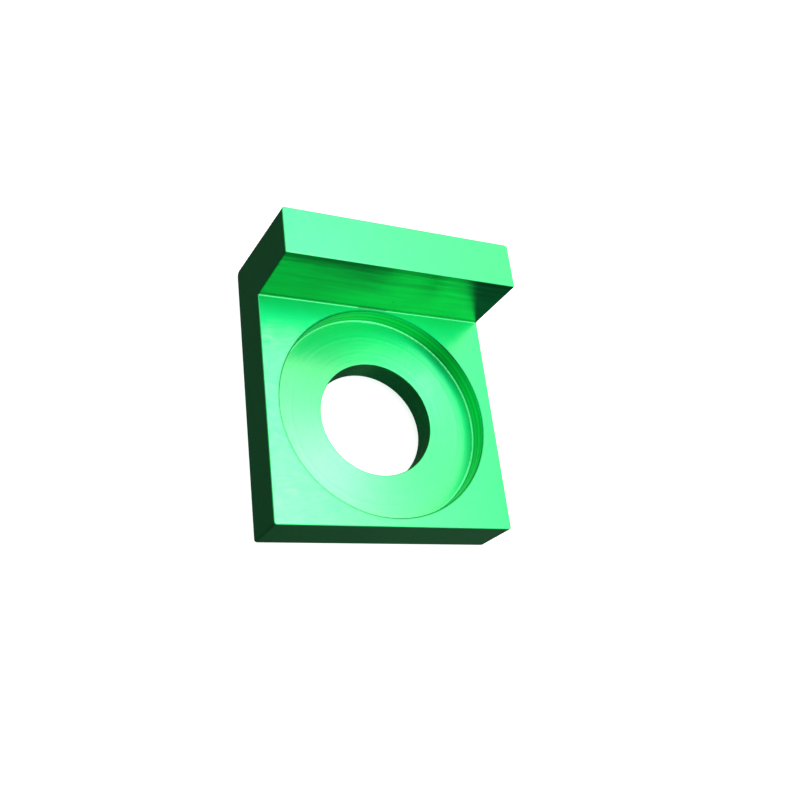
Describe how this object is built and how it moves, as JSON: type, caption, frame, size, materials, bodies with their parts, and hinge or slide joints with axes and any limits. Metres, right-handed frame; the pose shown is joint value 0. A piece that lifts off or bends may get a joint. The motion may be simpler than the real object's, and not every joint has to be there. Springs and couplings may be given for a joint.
{
  "type": "motorcycle chain adjuster block",
  "caption": "L-shaped milled block in green anodised aluminium: a plate with an axle bore in a round washer recess, and a lip along one end for the chain adjuster screw to push on.",
  "frame": {"origin": "on the axle bore's axis, in the plane of the plate's back face", "axes": "+Z along the bore, out of the recess, and up as the block lies on its back face; +Y towards the lip; X along the lip"},
  "size_m": [0.042, 0.0492, 0.023],
  "materials": {
    "green_anodised": "green anodised aluminium, satin milled faces, turned recess floor"
  },
  "bodies": {
    "root": {"adjuster_block": "green_anodised"}
  },
  "joints": []
}
